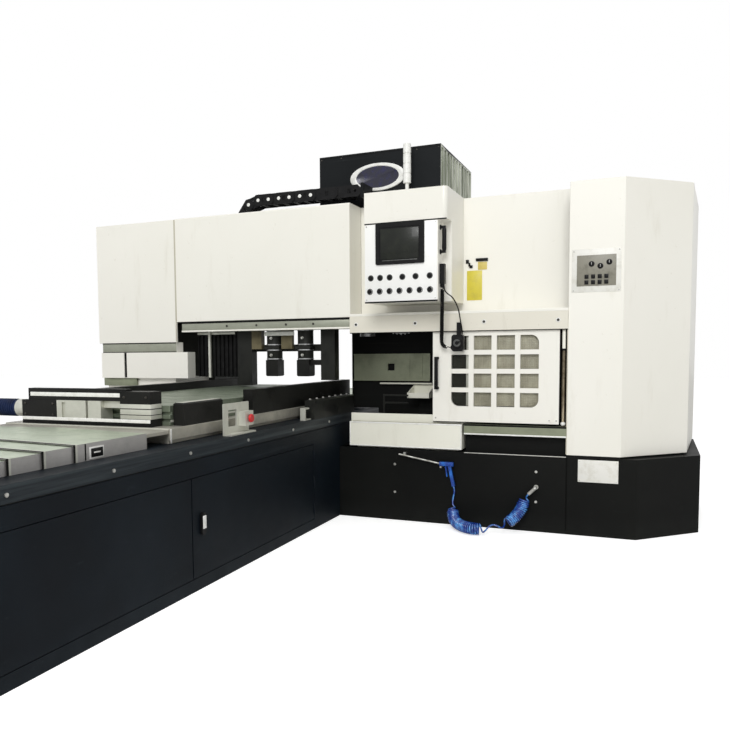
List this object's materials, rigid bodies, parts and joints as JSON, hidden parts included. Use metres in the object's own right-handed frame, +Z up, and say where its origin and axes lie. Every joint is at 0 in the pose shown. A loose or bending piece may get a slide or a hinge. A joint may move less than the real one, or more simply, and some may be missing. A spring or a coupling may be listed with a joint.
{
  "type": "plate sawing and milling machine",
  "caption": "Portal machine that saws and mills metal plate: feed table on a long bed, cross carriage with saw and spindle, hold-down clamps, sliding guard door and control station.",
  "frame": {"origin": "middle of the footprint's bounding box, on the floor", "axes": "+X along the portal to the right cabinet, +Y along the bed away from the operator's side, +Z up"},
  "size_m": [4.9, 6.2, 2.87],
  "materials": {
    "white_panel": "semi-gloss ivory enamel",
    "bed_paint": "dark navy texture enamel",
    "black_paint": "black texture enamel",
    "machine_casting": "painted dark grey casting",
    "table_iron": "ground top face",
    "sheet_steel": "brushed, oily",
    "rail_steel": "ground",
    "tool_steel": "ground",
    "chain_plastic": "matte black nylon",
    "black_plastic": "matte black",
    "screen_plastic": "gloss black",
    "red_plastic": "gloss red",
    "hose_plastic": "translucent blue polyurethane",
    "cable_rubber": "matte black",
    "curtain_rubber": "matte black",
    "clear_pane": "clear guard sheet over mesh",
    "lamp_plastic": "white translucent"
  },
  "bodies": {
    "frame": {"bed_frame": "bed_paint", "cover_screws": "rail_steel", "guide_rails": "rail_steel", "way_cover_front_1": "sheet_steel", "way_cover_rear_1": "sheet_steel", "bed_fittings": "machine_casting", "portal": "machine_casting", "left_cabinet": "white_panel", "bridge_cover": "white_panel", "right_base": "black_paint", "right_cabinet": "white_panel", "wall_panel": "white_panel", "door_tracks": "sheet_steel", "chip_tray": "white_panel", "slide_cover": "sheet_steel", "clamp_frame": "machine_casting", "chip_curtain": "curtain_rubber", "control_housing": "white_panel", "screen": "screen_plastic", "pilot_lamps": "black_plastic", "signal_lamp": "lamp_plastic", "pendant_body": "black_plastic", "pendant_cable": "cable_rubber", "hose_fittings": "rail_steel", "blow_gun": "hose_plastic", "hose_lead": "hose_plastic", "hose_coil": "hose_plastic"},
    "table": {"saddle": "table_iron", "worktable": "table_iron", "table_fixtures": "machine_casting", "way_cover_front_4": "sheet_steel", "way_cover_rear_4": "sheet_steel"},
    "front_cover_two": {"way_cover_front_2": "sheet_steel"},
    "front_cover_three": {"way_cover_front_3": "sheet_steel"},
    "rear_cover_two": {"way_cover_rear_2": "sheet_steel"},
    "rear_cover_three": {"way_cover_rear_3": "sheet_steel"},
    "front_door": {"bed_door_front": "bed_paint"},
    "rear_door": {"bed_door_rear": "bed_paint"},
    "latch": {"bed_latch": "rail_steel"},
    "cross_carriage": {"carriage": "machine_casting", "top_box": "black_paint", "drag_chain": "chain_plastic"},
    "mill_ram": {"ram": "machine_casting"},
    "mill_spindle": {"spindle": "tool_steel"},
    "saw_slide": {"saw_arm": "machine_casting"},
    "blade": {"saw_blade": "tool_steel"},
    "bay_door": {"sliding_door": "white_panel", "door_pane": "clear_pane"},
    "left_clamp": {"clamp_foot_left": "machine_casting"},
    "right_clamp": {"clamp_foot_right": "machine_casting"},
    "stop_head": {"stop_button": "red_plastic"},
    "handwheel": {"pendant_wheel": "black_plastic"},
    "trigger": {"gun_trigger": "hose_plastic"},
    "button_1": {"push_button_1": "black_plastic"},
    "button_2": {"push_button_2": "black_plastic"},
    "button_3": {"push_button_3": "black_plastic"},
    "button_4": {"push_button_4": "black_plastic"},
    "button_5": {"push_button_5": "black_plastic"},
    "button_6": {"push_button_6": "black_plastic"},
    "button_7": {"push_button_7": "black_plastic"}
  },
  "joints": [
    {"name": "table_feed", "type": "slide", "parent": "frame", "child": "table", "axis": [0, 1, 0], "range_m": [-0.4, 1]},
    {"name": "front_cover_two_slide", "type": "slide", "parent": "frame", "child": "front_cover_two", "axis": [0, 1, 0], "range_m": [-0.134, 0.334]},
    {"name": "front_cover_three_slide", "type": "slide", "parent": "frame", "child": "front_cover_three", "axis": [0, 1, 0], "range_m": [-0.267, 0.667]},
    {"name": "rear_cover_two_slide", "type": "slide", "parent": "frame", "child": "rear_cover_two", "axis": [0, 1, 0], "range_m": [-0.134, 0.334]},
    {"name": "rear_cover_three_slide", "type": "slide", "parent": "frame", "child": "rear_cover_three", "axis": [0, 1, 0], "range_m": [-0.267, 0.667]},
    {"name": "front_door_hinge", "type": "hinge", "parent": "frame", "child": "front_door", "pos_m": [-0.107, -3.032, 0.348], "axis": [0, 0, 1], "range_deg": [-110, 0]},
    {"name": "rear_door_hinge", "type": "hinge", "parent": "frame", "child": "rear_door", "pos_m": [-0.107, -0.098, 0.348], "axis": [0, 0, 1], "range_deg": [0, 90]},
    {"name": "latch_turn", "type": "hinge", "parent": "rear_door", "child": "latch", "pos_m": [-0.101, -1.598, 0.362], "axis": [1, 0, 0], "range_deg": [0, 90]},
    {"name": "carriage_travel", "type": "slide", "parent": "frame", "child": "cross_carriage", "axis": [1, 0, 0], "range_m": [-1.1, 0.25]},
    {"name": "ram_feed", "type": "slide", "parent": "cross_carriage", "child": "mill_ram", "axis": [0, 0, 1], "range_m": [-0.36, 0]},
    {"name": "spindle_turn", "type": "hinge", "parent": "mill_ram", "child": "mill_spindle", "pos_m": [-0.04, 0.86185, 1.48], "axis": [0, 0, 1], "continuous": true},
    {"name": "saw_feed", "type": "slide", "parent": "cross_carriage", "child": "saw_slide", "axis": [0, 0, 1], "range_m": [-0.41, 0]},
    {"name": "blade_turn", "type": "hinge", "parent": "saw_slide", "child": "blade", "pos_m": [0.3, 0.71, 1.68], "axis": [0, 1, 0], "continuous": true},
    {"name": "door_slide", "type": "slide", "parent": "frame", "child": "bay_door", "axis": [1, 0, 0], "range_m": [-0.65, 0]},
    {"name": "left_clamp_stroke", "type": "slide", "parent": "frame", "child": "left_clamp", "axis": [0, 0, 1], "range_m": [-0.085, 0]},
    {"name": "right_clamp_stroke", "type": "slide", "parent": "frame", "child": "right_clamp", "axis": [0, 0, 1], "range_m": [-0.085, 0]},
    {"name": "button_1_press", "type": "slide", "parent": "frame", "child": "button_1", "axis": [0, 1, 0], "range_m": [0, 0.005], "stiffness_N_per_m": 800},
    {"name": "button_2_press", "type": "slide", "parent": "frame", "child": "button_2", "axis": [0, 1, 0], "range_m": [0, 0.005], "stiffness_N_per_m": 800},
    {"name": "button_3_press", "type": "slide", "parent": "frame", "child": "button_3", "axis": [0, 1, 0], "range_m": [0, 0.005], "stiffness_N_per_m": 800},
    {"name": "button_4_press", "type": "slide", "parent": "frame", "child": "button_4", "axis": [0, 1, 0], "range_m": [0, 0.005], "stiffness_N_per_m": 800},
    {"name": "button_5_press", "type": "slide", "parent": "frame", "child": "button_5", "axis": [0, 1, 0], "range_m": [0, 0.005], "stiffness_N_per_m": 800},
    {"name": "button_6_press", "type": "slide", "parent": "frame", "child": "button_6", "axis": [0, 1, 0], "range_m": [0, 0.005], "stiffness_N_per_m": 800},
    {"name": "button_7_press", "type": "slide", "parent": "frame", "child": "button_7", "axis": [0, 1, 0], "range_m": [0, 0.005], "stiffness_N_per_m": 800},
    {"name": "stop_press", "type": "slide", "parent": "frame", "child": "stop_head", "axis": [-1, 0, 0], "range_m": [0, 0.005], "stiffness_N_per_m": 800},
    {"name": "handwheel_turn", "type": "hinge", "parent": "frame", "child": "handwheel", "pos_m": [0.841, 0.324, 1.347], "axis": [0, 1, 0], "continuous": true},
    {"name": "trigger_pull", "type": "hinge", "parent": "frame", "child": "trigger", "pos_m": [0.752, 0.362, 0.436], "axis": [0, -1, 0], "range_deg": [0, 10], "stiffness_Nm_per_rad": 1}
  ],
  "couplings": [
    {"joint": "front_cover_two_slide", "follows": "table_feed", "ratio": 0.33333},
    {"joint": "front_cover_three_slide", "follows": "table_feed", "ratio": 0.66667},
    {"joint": "rear_cover_two_slide", "follows": "table_feed", "ratio": 0.33333},
    {"joint": "rear_cover_three_slide", "follows": "table_feed", "ratio": 0.66667}
  ]
}
